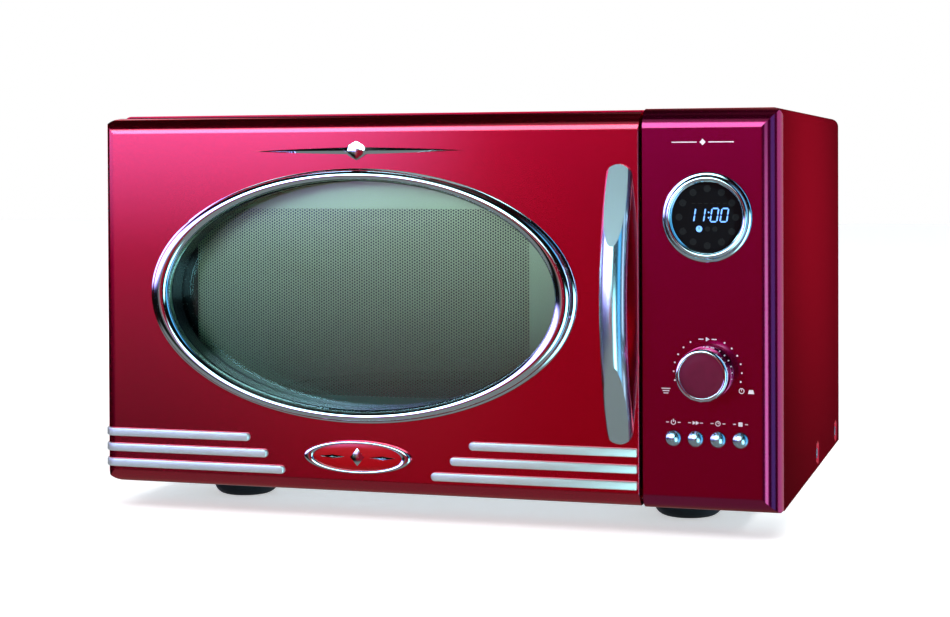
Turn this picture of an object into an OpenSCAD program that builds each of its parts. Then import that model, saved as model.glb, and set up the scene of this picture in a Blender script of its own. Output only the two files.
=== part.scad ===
// Countertop microwave oven: oval window in a wide chrome ring, arched chrome handle,
// round display, one dial and four buttons. Millimetres, +Z up, +Y towards the back.
// The origin is the middle of the footprint, on the surface that the feet stand on.
// Inside each module, y = 0 is the flat face of the door and z = 0 is the underside of the case.

/* [Body] */
// Width of the case
body_width = 451; // [445:1:460]
// Height of the case without its feet
body_height = 244; // [242:1:250]
// Depth from the face of the door to the back of the case
body_depth = 316; // [314:1:330]
// Height of the rubber feet
foot_height = 16; // [13:1:20]
// Radius of the feet
foot_radius = 22; // [18:1:24]
// Thickness of the sheet steel
sheet = 1; // [0.8:0.1:1.2]
// Rounding of the long top edges of the case
case_corner = 6; // [4:0.5:8]

/* [Door] */
// Distance from the middle of the case to the gap between door and control panel
seam_x = 140.2; // [138:0.1:142]
// Width of the gap between door and control panel
seam_gap = 2; // [1.6:0.1:3]
// Depth of the painted outer part of the door
door_shell_depth = 29; // [27:0.5:29.5]
// Wall thickness of the plastic mouldings
wall = 2.5; // [2:0.25:3]

/* [Window] */
// Half height of the chrome ring
ring_half_height = 81.4; // [80:0.1:83]
// How much wider than high the ring is
ring_stretch = 1.775; // [1.75:0.005:1.8]
// Height of the middle of the window
window_z = 127; // [125:0.5:129]
// Middle of the door and of its window, from the middle of the case
window_x = -44; // [-45:0.5:-43]

/* [Handle] */
// Length of the handle
handle_length = 171; // [168:1:174]
// Width of the handle
handle_width = 16.8; // [16:0.1:18]
// How far the handle stands out from the door
handle_reach = 27; // [25:0.5:28]
// Distance of the handle from the middle of the case
handle_x = 127; // [126:0.5:128]

/* [Control panel] */
// Distance of the panel's controls from the middle of the case
panel_x = 181; // [179:0.5:183]
// Radius of the chrome bezel round the display
bezel_radius = 27.3; // [26:0.1:28]
// Radius of the dial
dial_radius = 16; // [15:0.5:17]
// Radius of the push buttons
button_radius = 4.7; // [4.5:0.1:4.8]
// Distance between neighbouring buttons
button_pitch = 13.6; // [13.2:0.1:14]

/* [Cavity] */
// Width of the cooking space
cavity_width = 304; // [300:1:304]
// Height of the cooking space
cavity_height = 196; // [192:1:196]
// Radius of the glass turntable
turntable_radius = 122.5; // [115:0.5:125]

/* [Hidden] */

$fn = 64;

// shared places
half_width = body_width / 2;
door_face_y = handle_reach - (body_depth + handle_reach) / 2;
door_left = -half_width + 2;
door_right = seam_x - seam_gap / 2;
panel_left = seam_x + seam_gap / 2;
door_top = body_height - 2;
door_bottom = 0.5;
door_side_round = 7.5;
door_top_round = 10.5;
panel_round = 12;
bottom_round = 9;
frame_y = 32;
frame_sheet = 1.2;
wrap_front_y = 32.6;
panel_wrap_y = 10.3;
step = 0.3;
film = 0.05;

// back and sides of the case
rear_sheet_y = [body_depth - 2.6, body_depth - 1.4];
flange_width = 15;
side_screw_y = [180, 292];
side_screw_z = 11;
dimple_radius = 9;
rear_screw_x = [-217, -60, 80, 217];
rear_screw_z = [8, 235];
screw_radius = 1.5;
screw_hole = screw_radius + film;
screw_head_radius = 3.6;
foot_x = 155;
foot_y = [76, 268];
cord_x = 195;
cord_z = 32;
cord_radius = 4;
grommet_neck = 6.1;

// hinge line of the door
hinge_x = door_left + 10;
hinge_y = 17;
hinge_pin_radius = 2.5;
hinge_plate = 2;
hinge_side_depth = 24;
hinge_side_x = hinge_x - 4.5;
hinge_half_width = 5;
hinge_boss_height = 10;
hinge_boss_right = hinge_x + 7.5;
hinge_pin_length = 9;
upper_hinge_z = 236;
lower_hinge_z = 5;

// cooking space
cavity_left = window_x - cavity_width / 2;
cavity_right = window_x + cavity_width / 2;
cavity_floor = 24;
cavity_roof = cavity_floor + cavity_height;
cavity_back = body_depth - 10;
turntable_y = 169;
roller_radius = 6.6;
roller_track = 93;
roller_axle = 1.6;
coupler_shaft = 3;
roller_z = cavity_floor + roller_radius + step;
glass_z = roller_z + roller_radius + step;

// window ring section, as radii of the unstretched ring
ring_crest = ring_half_height - 4.5;
ring_lip = ring_half_height - 8;
ring_height = 6;
ring_bead = 3.2;
ring_wall = 2.2;
glass_y = 14;

// inside the case, beside the cooking space
lamp_x = 126;
lamp_y = 95;
lamp_z = 158;
lamp_base_height = 14;
guide_y = [142, 240];
guide_z = [138, 206];
magnetron_x = [139, 191];
magnetron_y = [150, 230];
magnetron_z = [140, 204];
antenna_y = (magnetron_y[0] + magnetron_y[1]) / 2;
antenna_z = (magnetron_z[0] + magnetron_z[1]) / 2;
antenna_radius = 9.5;
transformer_x = 174;
transformer_y = 116;
capacitor_y = [166, 250];
fan_x = 168;
fan_z = 122;
fan_sheet_y = [283, 288];
fan_radius = 44;
fan_spindle = 2;
filter_z = 216;
board_sheet = 1.6;

// latch
latch_x = 127;
latch_z = [50, 200];
latch_width = 3.5;
latch_guide_z = [70, 125, 180];
switch_x = [124, 134];
switch_y = [58, 76];

// layers of the door behind its window
seal_y = 30.8;
seal_sheet = 1.2;
screen_y = 20.5;
screen_left = door_left + 6.5;
screen_right = 122;
screen_low = 6.5;
screen_high = 237.5;
window_half = [146, 88];

// control panel
display_z = 178;
dial_z = 84.6;
button_z = 44;
bezel_lip = 21.3;
bezel_neck = 22.3;
shaft_radius = 3;
shaft_back_y = 14;
lens_sheet = 2;
dial_back_y = -2;
dial_front_y = -21.5;
board_y = 19;
first_button_x = panel_x - 21;
board_post_x = [151, 213];
board_post_z = [36, 206];

// handle arch: a circle through both ends and the crown
handle_z = 124.65;
handle_end_y = 4;
handle_half = handle_length / 2;
handle_rise = handle_reach - handle_end_y;
arch_radius = (handle_half * handle_half + handle_rise * handle_rise) / (2 * handle_rise);
handle_round = handle_width / 2;
handle_thick = 12;
handle_screw_z = [handle_z - 75, handle_z + 75];

// door ornaments
strip_z = [34.1, 24, 13.9];
strip_height = 5.3;
left_strip_tip = [-118.4, -105.9, -94.1];
right_strip_tip = [30.4, 17.8, 5.3];
strip_rise = 2;
strip_tip_round = 2.6;
strip_end_x = door_right - 1.7;
badge_z = 24.1;
badge_half = [36, 10.4];
badge_rim_width = 2;
badge_face_rise = 1.4;
spear_z = 219.5;
spear_half = [72, 2.4];

// ---------- helpers ----------

module in_case() translate([0, door_face_y, foot_height]) children();

module box(x, y, z) {
    translate([x[0], y[0], z[0]])
        cube([x[1] - x[0], y[1] - y[0], z[1] - z[0]]);
}

// rectangle from corner a to corner b with its own radius at each corner:
// r = [low left, low right, high right, high left]
module round_rect(a, b, r) {
    corner = [[a[0], a[1]], [b[0], a[1]], [b[0], b[1]], [a[0], b[1]]];
    inward = [[1, 1], [-1, 1], [-1, -1], [1, -1]];
    difference() {
        translate(a) square([b[0] - a[0], b[1] - a[1]]);
        for (i = [0:3])
            if (r[i] > 0)
                translate(corner[i])
                    scale(inward[i])
                        difference() {
                            translate([-1, -1]) square(r[i] + 1);
                            translate([r[i], r[i]]) circle(r[i]);
                        }
    }
}

// plate outline in x and z, pushed from y[0] to y[1]
module plate_xz(y) {
    translate([0, y[1], 0])
        rotate([90, 0, 0])
            linear_extrude(y[1] - y[0])
                children();
}

// outline in y and z, pushed from x[0] to x[1]
module plate_yz(x) {
    translate([x[0], 0, 0])
        rotate([90, 0, 90])
            linear_extrude(x[1] - x[0])
                children();
}

// round bar along y
module bar_y(r, y, x = 0, z = 0) {
    translate([x, y[1], z])
        rotate([90, 0, 0])
            cylinder(r = r, h = y[1] - y[0]);
}

// round bar along x
module bar_x(r, x, y = 0, z = 0) {
    translate([x[0], y, z])
        rotate([0, 90, 0])
            cylinder(r = r, h = x[1] - x[0]);
}

// turned shape about y: the outline's first value is the radius, the second is y
module turned_y(x, z) {
    translate([x, 0, z])
        rotate([-90, 0, 0])
            rotate_extrude($fn = 96)
                children();
}

module ring_z(r_out, r_in, z) {
    translate([0, 0, z[0]])
        linear_extrude(z[1] - z[0])
            difference() {
                circle(r_out);
                circle(r_in);
            }
}

// ---------- case ----------

module case_outline(inset) {
    top_round = max(case_corner - inset, 0);
    round_rect([-half_width + inset, inset], [half_width - inset, body_height - inset],
        [1, 1, top_round, top_round]);
}

// sunken seat of a side screw, as radius and depth
module side_dimple(side, y, z) {
    translate([side * half_width, y, z])
        rotate([0, -90 * side, 0])
            rotate_extrude()
                polygon([[1.8, 1.8], [6.5, 1.8], [8.6, 0], [dimple_radius + 0.2, 0],
                    [dimple_radius + 0.2, sheet], [7, 1.8 + sheet], [1.8, 1.8 + sheet]]);
}

module cabinet() {
    vent_pitch = 7;
    color("firebrick")
    in_case()
    difference() {
        union() {
            difference() {
                plate_xz([panel_wrap_y, body_depth]) case_outline(0);
                plate_xz([panel_wrap_y - 1, body_depth + 1]) case_outline(sheet);
                box([-half_width - 1, half_width + 1], [0, body_depth + 1], [-1, sheet]);
                box([-half_width - 1, panel_left], [0, wrap_front_y], [-1, body_height + 1]);
                for (side = [-1, 1], y = side_screw_y)
                    bar_x(dimple_radius, [side * half_width - 2, side * half_width + 2], y,
                        side_screw_z);
            }
            for (side = [-1, 1], y = side_screw_y)
                side_dimple(side, y, side_screw_z);
            // inward flange that the back is screwed to
            plate_xz([rear_sheet_y[0] - sheet, rear_sheet_y[0]])
                difference() {
                    case_outline(sheet / 2);
                    translate([-half_width + flange_width, -1])
                        square([body_width - 2 * flange_width, body_height + 1 - flange_width]);
                    translate([-half_width, -1]) square([body_width, flange_width + 2]);
                }
        }
        for (x = rear_screw_x)
            bar_y(screw_hole, [body_depth - 5, body_depth], x, rear_screw_z[1]);
        // air outlets low on the left side
        for (i = [0:7])
            box([-half_width - 1, -half_width + 2], [215, 218] + i * vent_pitch * [1, 1], [40, 75]);
    }
}

module base_plate() {
    rail_height = 18;
    vent_pitch = 8;
    color("silver")
    in_case()
    difference() {
        union() {
            box([-half_width + sheet + step, half_width - sheet - step],
                [frame_y + 2, rear_sheet_y[0]], [0, sheet]);
            // upturned rails along both sides and the back
            for (side = [-1, 1])
                translate([side * (half_width - 3.5) - sheet / 2, frame_y + 2, 0])
                    cube([sheet, body_depth - frame_y - 6, rail_height]);
            box([-half_width + 5, half_width - 5], [rear_sheet_y[0] - sheet, rear_sheet_y[0]],
                [0, 14]);
        }
        // air inlets between the right feet
        for (i = [0:5])
            box([128, 208], [200, 204] + i * vent_pitch * [1, 1], [-1, 2]);
        for (side = [-1, 1], y = side_screw_y)
            bar_x(screw_hole, [side * half_width - 6, side * half_width + 6], y, side_screw_z);
        for (x = rear_screw_x)
            bar_y(screw_hole, [body_depth - 5, body_depth], x, rear_screw_z[0]);
    }
}

module rear_panel() {
    cut_y = [body_depth - 4, body_depth + 1];
    slot_pitch = 6.5;
    louvre_pitch = 5.5;
    color("silver")
    in_case()
    difference() {
        plate_xz(rear_sheet_y) case_outline(sheet + step);
        bar_y(grommet_neck + 0.1, cut_y, cord_x, cord_z);
        // air inlets behind the fan
        for (i = [0:13])
            box([120, 123] + i * slot_pitch * [1, 1], cut_y, [70, 175]);
        // outlets behind the cooking space
        for (i = [0:7])
            box([-190, -130], cut_y, [176, 179] + i * louvre_pitch * [1, 1]);
        for (x = rear_screw_x, z = rear_screw_z)
            bar_y(screw_radius + step, cut_y, x, z);
    }
}

module case_screws() {
    head_height = 1.4;
    color("dimgray")
    in_case() {
        for (x = rear_screw_x, z = rear_screw_z) {
            bar_y(screw_head_radius, [rear_sheet_y[1], body_depth], x, z);
            bar_y(screw_radius, [body_depth - 8, rear_sheet_y[1]], x, z);
        }
        for (side = [-1, 1], y = side_screw_y)
            translate([side * half_width, y, side_screw_z])
                rotate([0, -90 * side, 0]) {
                    translate([0, 0, 0.4]) cylinder(r = screw_head_radius, h = head_height);
                    translate([0, 0, 0.4 + head_height]) cylinder(r = screw_radius, h = 5);
                }
    }
}

// round foot with a rounded lower edge
module foot() {
    bend = 8;
    rotate_extrude()
        union() {
            square([foot_radius - bend, foot_height]);
            translate([foot_radius - bend, bend])
                intersection() {
                    circle(bend);
                    translate([0, -bend - 1]) square(18);
                }
            translate([0, bend]) square([foot_radius, foot_height - bend]);
        }
}

module feet() {
    color([0.06, 0.06, 0.07])
    translate([0, door_face_y, 0])
        for (x = [-foot_x, foot_x], y = foot_y)
            translate([x, y, 0]) foot();
}

// grommet that the mains cord passes through, snapped into the back
module cord_inlet() {
    color([0.08, 0.08, 0.08])
    in_case()
    difference() {
        union() {
            bar_y(9, [rear_sheet_y[1], body_depth], cord_x, cord_z);
            bar_y(grommet_neck, [body_depth - 6, rear_sheet_y[1]], cord_x, cord_z);
            bar_y(7.5, [body_depth - 6, rear_sheet_y[0]], cord_x, cord_z);
        }
        bar_y(cord_radius, [body_depth - 7, body_depth + 1], cord_x, cord_z);
    }
}

// ---------- cavity and its front ----------

module latch_slots(y) {
    for (z = latch_z)
        box([latch_x - 2, latch_x + 7], y, [z - 11, z + 9]);
}

module front_frame() {
    cut_y = [frame_y - 1, frame_y + 3];
    color("firebrick")
    in_case()
    difference() {
        plate_xz([frame_y, frame_y + frame_sheet]) case_outline(sheet + step);
        box([cavity_left, cavity_right], cut_y, [cavity_floor, cavity_roof]);
        // opening behind the control panel
        box([150, 214], cut_y, [20, 226]);
        latch_slots(cut_y);
    }
}

module cavity() {
    back = cavity_back;
    front = frame_y + frame_sheet;
    right_cut = [cavity_right - 1, cavity_right + 3];
    hole_radius = 2;
    hole_pitch = 6;
    color([0.82, 0.82, 0.8])
    in_case()
    difference() {
        box([cavity_left - sheet, cavity_right + sheet], [front, back],
            [cavity_floor - sheet, cavity_roof + sheet]);
        box([cavity_left, cavity_right], [front - 1, back - sheet], [cavity_floor, cavity_roof]);
        translate([window_x, turntable_y, 10]) cylinder(r = 9, h = 20);
        // feed from the waveguide, light from the lamp, and steam outlet
        box(right_cut, [150, 228], [146, 196]);
        for (i = [0:3], j = [0:3])
            bar_x(hole_radius, right_cut, lamp_y - 9 + i * hole_pitch, 182 + j * hole_pitch);
        for (i = [0:7], j = [0:3])
            bar_y(hole_radius, [back - 3, back + 1], cavity_left + 20 + i * hole_pitch,
                186 + j * hole_pitch);
    }
}

module waveguide() {
    color("silver")
    in_case()
    difference() {
        box([cavity_right + sheet, magnetron_x[0]], guide_y, guide_z);
        box([cavity_right, magnetron_x[0] - sheet], guide_y + sheet * [1, -1],
            guide_z + sheet * [1, -1]);
        bar_x(antenna_radius + 1.5, [130, 141], antenna_y, antenna_z);
    }
}

module waveguide_cover() {
    color([0.75, 0.72, 0.6])
    in_case()
        box([cavity_right - 0.5, cavity_right], guide_y + [3, -7], guide_z + [3, -5]);
}

module magnetron() {
    plate = 2;
    left = magnetron_x[0];
    right = magnetron_x[1];
    fin_pitch = 7;
    color([0.72, 0.72, 0.74])
    in_case()
    difference() {
        union() {
            for (x = [left, right - plate])
                box([x, x + plate], magnetron_y, magnetron_z);
            for (z = [magnetron_z[0], magnetron_z[1] - plate])
                box([left + plate, right - plate], magnetron_y, [z, z + plate]);
            // cooling fins round the tube
            for (i = [0:5])
                box([left + 8, left + 8.6] + i * fin_pitch * [1, 1], magnetron_y + [6, -6],
                    magnetron_z + plate * [1, -1]);
            bar_x(16, [left + plate, right - plate], antenna_y, antenna_z);
            bar_x(antenna_radius, [left - 15, left + plate], antenna_y, antenna_z);
            box([right, right + 21], magnetron_y + [20, -18], magnetron_z + [8, -8]);
        }
        for (y = magnetron_y + [5, -5], z = magnetron_z + [4, -4])
            bar_x(2, [left - 1, left + 3], y, z);
    }
}

module transformer_core() {
    color([0.35, 0.33, 0.32])
    in_case()
    translate([transformer_x, transformer_y, 0])
    difference() {
        box([-40, 40], [-32, 32], [sheet, 70]);
        for (side = [-1, 1])
            box([side * 17 - 9, side * 17 + 9], [-34, 34], [15, 56]);
    }
}

// lower and upper winding round the middle leg of the core
module transformer_coils() {
    color("peru")
    in_case()
    for (z = [[17, 34], [37, 54]])
        translate([transformer_x, transformer_y, z[0]])
            linear_extrude(z[1] - z[0])
                difference() {
                    round_rect([-25, -43], [25, 43], [9, 9, 9, 9]);
                    square([16, 64], center = true);
                }
}

module capacitor() {
    end = capacitor_y[1];
    color("silver")
    in_case() {
        plate_xz(capacitor_y) round_rect([152, 4], [204, 38], [16, 16, 16, 16]);
        // two terminals
        for (x = [168, 188])
            box([x - 3, x + 3], [end, end + 7], [20.5, 21.5]);
    }
}

module fan_shroud() {
    color([0.2, 0.2, 0.21])
    in_case()
    difference() {
        box([114, 222], fan_sheet_y, [56, 196]);
        bar_y(fan_radius + 3, fan_sheet_y + [-1, 1], fan_x, fan_z);
    }
}

module fan_motor() {
    back = fan_sheet_y[1];
    arm_y = [back, back + 4];
    plate_x = [fan_x - 28, fan_x + 28];
    color("gray")
    in_case()
    difference() {
        union() {
            box([fan_x - 20, fan_x + 20], [back + 4, back + 16], [fan_z - 20, fan_z + 20]);
            box(plate_x, arm_y, [fan_z - 24, fan_z + 24]);
            // arms that reach the shroud above and below its opening
            for (z = [[fan_z - 62, fan_z - 24], [fan_z + 24, fan_z + 62]])
                box([fan_x - 4, fan_x + 4], arm_y, z);
        }
        bar_y(fan_spindle + film, [back - 2, back + 12], fan_x, fan_z);
    }
}

module fan_blade() {
    hub_y = [266, 286];
    hub_radius = 10;
    color([0.85, 0.85, 0.85])
    in_case()
    translate([fan_x, 0, fan_z]) {
        difference() {
            bar_y(hub_radius, hub_y);
            bar_y(hub_radius - 3, hub_y + [4, 1]);
        }
        bar_y(fan_spindle, hub_y + [3, 13]);
        intersection() {
            for (i = [0:4])
                rotate([0, i * 72, 0])
                    translate([0, 276, 0])
                        rotate([0, 0, 32])
                            translate([-13, -0.8, 8])
                                cube([26, 1.6, 40]);
            difference() {
                bar_y(fan_radius, hub_y + [1, -1]);
                bar_y(hub_radius - 1, hub_y);
            }
        }
    }
}

module lamp() {
    bulb_radius = 8;
    color([1, 0.95, 0.8])
    in_case()
    translate([lamp_x, lamp_y, lamp_z + 13]) {
        cylinder(r = 6, h = 12);
        translate([0, 0, 12]) cylinder(r = bulb_radius, h = 18);
        translate([0, 0, 30])
            intersection() {
                sphere(bulb_radius);
                cylinder(r = bulb_radius + 1, h = bulb_radius + 1);
            }
    }
}

module lamp_holder() {
    color([0.9, 0.9, 0.86])
    in_case()
    translate([lamp_x, lamp_y, lamp_z])
    difference() {
        union() {
            cylinder(r = 10, h = lamp_base_height);
            box([cavity_right + sheet - lamp_x, -14], [-15, 15], [0, lamp_base_height]);
            box([-15, -8], [-4, 4], [0, lamp_base_height]);
        }
        translate([0, 0, 4]) cylinder(r = 6, h = lamp_base_height - 3);
    }
}

module turntable_motor() {
    top = cavity_floor - sheet;
    color("silver")
    in_case()
    translate([window_x, turntable_y, 0])
    difference() {
        union() {
            translate([0, 0, 6]) cylinder(r = 25, h = top - 6);
            for (side = [-1, 1])
                translate([side * 30 - 8, -6, top - 2]) cube([16, 12, 2]);
        }
        translate([0, 0, 9]) cylinder(r = coupler_shaft + film, h = 20);
    }
}

// shaft that the motor turns, with three arms that carry the glass plate
module coupler() {
    hub_z = cavity_floor - 0.5;
    arm_z = cavity_floor + 4;
    arm_length = 17;
    color([0.9, 0.9, 0.88])
    in_case()
    translate([window_x, turntable_y, 0]) {
        translate([0, 0, 10]) cylinder(r = coupler_shaft, h = cavity_floor - 10);
        translate([0, 0, hub_z]) cylinder(r = 6.5, h = glass_z - hub_z);
        for (i = [0:2])
            rotate([0, 0, i * 120 + 60])
                translate([0, -3, arm_z]) cube([arm_length, 6, glass_z - arm_z]);
    }
}

module roller_ring() {
    color([0.92, 0.92, 0.9])
    in_case()
    translate([window_x, turntable_y, 0])
    union() {
        ring_z(roller_track - 5, roller_track - 12, [roller_z - 3.5, roller_z + 3.5]);
        for (i = [0:2])
            rotate([0, 0, i * 120])
                translate([roller_track - 7, 0, roller_z])
                    rotate([0, 90, 0]) cylinder(r = roller_axle, h = 12);
    }
}

module roller(turn) {
    color([0.95, 0.95, 0.93])
    in_case()
    translate([window_x, turntable_y, roller_z])
        rotate([0, 0, turn])
            translate([roller_track - 3, 0, 0])
                rotate([0, 90, 0])
                    difference() {
                        cylinder(r = roller_radius, h = 6);
                        translate([0, 0, -1]) cylinder(r = roller_axle + film, h = 8);
                    }
}

// flat glass plate with a raised rim
module glass_turntable() {
    flat = turntable_radius - 8;
    rim_z = glass_z + 10;
    color([0.8, 0.9, 0.9, 0.5])
    in_case()
    translate([window_x, turntable_y, 0])
        rotate_extrude($fn = 128)
            union() {
                translate([0, glass_z]) square([flat, 5]);
                polygon([[flat, glass_z], [turntable_radius, rim_z - 3],
                    [turntable_radius, rim_z], [turntable_radius - 3, rim_z],
                    [flat - 1, glass_z + 5]]);
            }
}

module latch_bracket() {
    front = frame_y + frame_sheet;
    web_x = [137, 140];
    color([0.93, 0.93, 0.9])
    in_case()
    difference() {
        union() {
            box([cavity_right + 3, web_x[1]], [front, front + 3], [28, 222]);
            box(web_x, [front + 3, 70], [28, 222]);
            // shelves under the switches
            for (z = latch_z)
                box([113, web_x[0]], [front + 3, 66], [z - 15, z - 13]);
        }
        latch_slots([front - 1, front + 4]);
    }
}

// one switch behind each latch hook, with its push pin
module interlock_switches() {
    color([0.15, 0.15, 0.15])
    in_case()
    for (z = latch_z) {
        box(switch_x, switch_y, [z - 13, z + 12]);
        bar_y(1.5, [switch_y[0] - 2, switch_y[0]], (switch_x[0] + switch_x[1]) / 2, z);
    }
}

module thermal_cutout() {
    can_height = 7;
    color("silver")
    in_case()
    translate([window_x, 110, cavity_roof + sheet]) {
        cylinder(r = 8, h = can_height);
        translate([-14, -3, 0]) cube([28, 6, 1]);
        for (x = [-4, 3]) translate([x, -2.5, can_height]) cube([1, 5, 6]);
    }
}

// circuit board with a choke, a box capacitor, a tube capacitor and a fuse block
module filter_board() {
    top = filter_z + board_sheet;
    color([0.1, 0.35, 0.2])
    in_case() {
        box([118, 214], [244, 278], [filter_z, top]);
        translate([140, 261, top]) ring_z(13, 7, [0, 12]);
        box([160, 178], [252, 270], [top, top + 15.4]);
        translate([186, 261, top]) cylinder(r = 5, h = 10);
        box([196, 210], [249, 255], [top, top + 7.4]);
    }
}

// ---------- control panel ----------

module panel_solid(inset, front, back) {
    low = inset;
    high = body_height - inset;
    round = panel_round - inset;
    intersection() {
        plate_xz([front, back])
            round_rect([panel_left + inset, low], [half_width - inset, high],
                [1, 3, case_corner, 1]);
        plate_yz([panel_left - 1, half_width + 1])
            round_rect([inset, low], [60, high], [bottom_round - inset, 0, 0, round]);
        translate([0, 0, -1])
            linear_extrude(body_height + 2)
                round_rect([panel_left - 1 + inset, inset], [half_width - inset, 60],
                    [0, round, 0, 0]);
    }
}

module panel_back_solid(inset) {
    side = sheet + step + inset;
    plate_xz([panel_wrap_y - step - 1, frame_y + inset])
        round_rect([panel_left + inset, side], [half_width - side, body_height - side],
            [0, 0, max(case_corner - side, 0), 0]);
}

module control_panel() {
    through = [-1, 5];
    color([0.4, 0.03, 0.12])
    in_case()
    difference() {
        union() {
            difference() {
                union() {
                    panel_solid(0, 0, panel_wrap_y - step);
                    panel_back_solid(0);
                }
                panel_solid(wall, wall, panel_wrap_y - step);
                panel_back_solid(wall);
            }
            // posts that carry the circuit board
            for (x = board_post_x, z = board_post_z)
                bar_y(2.5, [1, board_y], x, z);
        }
        bar_y(bezel_neck + 0.2, through, panel_x, display_z);
        bar_y(4.7, through, panel_x, dial_z);
        for (i = [0:3])
            bar_y(button_radius + step, through, first_button_x + i * button_pitch, button_z);
    }
}

// chrome ring: outer flange, double step, crest, slope down to the lens, then its neck
module display_bezel() {
    r = bezel_radius;
    color("silver")
    in_case()
    turned_y(panel_x, display_z)
        polygon([[r, 0], [r, -0.9], [r - 0.7, -1.5], [r - 1.6, -1.6], [r - 2.3, -2.6],
            [r - 3.6, -3.2], [r - 4.8, -3.1], [bezel_lip, -2.4], [bezel_lip, 4],
            [bezel_neck, 4], [bezel_neck, 0]]);
}

module display_lens() {
    color([0.03, 0.04, 0.05])
    in_case()
        bar_y(bezel_lip - film, [0, lens_sheet], panel_x, display_z);
}

module display_module() {
    tube_back = 8;
    color([0.9, 0.9, 0.9])
    in_case() {
        bar_y(19.5, [lens_sheet, tube_back], panel_x, display_z);
        box([panel_x - 18, panel_x + 18], [tube_back, board_y],
            [display_z - 14, display_z + 14]);
    }
}

module control_board() {
    back = board_y + board_sheet;
    part_height = 7.4;
    button_end_y = 9.2;
    color([0.1, 0.35, 0.2])
    in_case() {
        box([147, 218], [board_y, back], [30, 212]);
        // push switches behind the buttons
        for (i = [0:3])
            translate([first_button_x + i * button_pitch - 3, button_end_y, button_z - 3])
                cube([6, board_y - button_end_y, 6]);
        // relay and two capacitors
        box([152, 170], [back, back + part_height], [120, 146]);
        for (x = [184, 200])
            bar_y(5, [back, back + part_height], x, 134);
    }
}

module encoder() {
    body_front = 8;
    color([0.6, 0.6, 0.62])
    in_case()
    difference() {
        union() {
            bar_y(4.4, [-0.5, body_front], panel_x, dial_z);
            box([panel_x - 7, panel_x + 7], [body_front, board_y], [dial_z - 7, dial_z + 7]);
            bar_y(7.5, [wall, wall + 2], panel_x, dial_z);
        }
        bar_y(shaft_radius + film, [-2, 17.6], panel_x, dial_z);
    }
}

module dial_plunger() {
    color([0.9, 0.9, 0.9])
    in_case()
        bar_y(shaft_radius, [shaft_back_y, shaft_back_y + 2.2], panel_x, dial_z);
}

module dial_shaft() {
    color("silver")
    in_case()
        bar_y(shaft_radius, [dial_back_y - 14, shaft_back_y], panel_x, dial_z);
}

// hollow knob: rolled front edge round a sunken face, thicker skirt, boss on the shaft
module dial_knob() {
    r = dial_radius;
    edge = 2;
    front = dial_front_y;
    back = dial_back_y;
    color("silver")
    in_case()
    turned_y(panel_x, dial_z)
        difference() {
            union() {
                translate([0, front + edge]) square([r - 0.4, back - front - edge]);
                translate([r - 0.4 - edge, front + edge]) circle(edge);
                translate([0, front]) square([r - 0.4 - edge, 3]);
                translate([0, back - 3]) square([r, 3]);
            }
            translate([-30, -50]) square([30, 100]);
            translate([-1, front - 1]) square([r - 1.7, 2]);
            translate([5.4, back - 13]) square([r - 7.9, 14]);
            translate([-1, back - 14]) square([shaft_radius + 1, 15]);
        }
}

module dial_face() {
    color([0.5, 0.05, 0.18])
    in_case()
        bar_y(dial_radius - 2.8, [dial_front_y - 0.1, dial_front_y + 1], panel_x, dial_z);
}

// domed cap with a collar that keeps it behind the panel
module button(index) {
    dome = button_radius + 2.3;
    color("silver")
    in_case()
    turned_y(first_button_x + index * button_pitch, button_z)
        union() {
            translate([0, -0.6]) square([button_radius, 8.4]);
            translate([0, 3]) square([button_radius + 1.2, 1.2]);
            intersection() {
                translate([0, dome - 2.4]) circle(dome);
                translate([0, -4]) square([button_radius, 4]);
            }
        }
}

// ---------- door ----------

module door_solid(inset, back) {
    low = door_bottom + inset;
    high = door_top - inset;
    left = door_left + inset;
    right = door_right - inset;
    intersection() {
        plate_xz([inset, back]) round_rect([left, low], [right, high], [12, 1, 1, 9]);
        plate_yz([left - 1, right + 1])
            round_rect([inset, low], [60, high],
                [bottom_round - inset, 0, 0, door_top_round - inset]);
        translate([0, 0, -1])
            linear_extrude(body_height + 2)
                round_rect([left, inset], [right, 60], [door_side_round - inset, 1, 0, 0]);
    }
}

module oval_hole(r, y) {
    plate_xz(y) translate([window_x, window_z]) scale([ring_stretch, 1]) circle(r);
}

module door_shell() {
    notch_x = [door_left - 1, hinge_boss_right];
    notch_y = [7, 30];
    color([0.75, 0.02, 0.15])
    in_case()
    difference() {
        union() {
            difference() {
                door_solid(0, door_shell_depth);
                door_solid(wall, door_shell_depth + 1);
            }
            // bosses that turn on the hinge pins
            intersection() {
                door_solid(1, hinge_side_depth);
                for (z = [upper_hinge_z - 1 - hinge_boss_height, lower_hinge_z + hinge_plate + 1])
                    box([door_left, hinge_boss_right], [0, hinge_side_depth],
                        [z, z + hinge_boss_height]);
            }
            // guides that the latch slides in
            for (x = [latch_x - 2, latch_x + latch_width + step], z = latch_guide_z)
                box([x, x + 1.7], [1, 20], [z - 6, z + 6]);
        }
        box([door_left - 1, hinge_side_x], [hinge_side_depth, door_shell_depth + 1],
            [-1, body_height]);
        oval_hole(ring_lip + ring_wall + step, [-1, 5]);
        for (z = [upper_hinge_z - 12, lower_hinge_z + hinge_plate - 3])
            translate([hinge_x, hinge_y, z])
                cylinder(r = hinge_pin_radius + film, h = 15);
        // room for the hinge plates to turn in
        box(notch_x, notch_y, [upper_hinge_z - 1, door_top - wall]);
        box(notch_x, notch_y, [lower_hinge_z - 1.5, lower_hinge_z + hinge_plate + 1]);
        for (z = handle_screw_z)
            bar_y(screw_radius + 0.5, [-1, 5], handle_x, z);
    }
}

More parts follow.
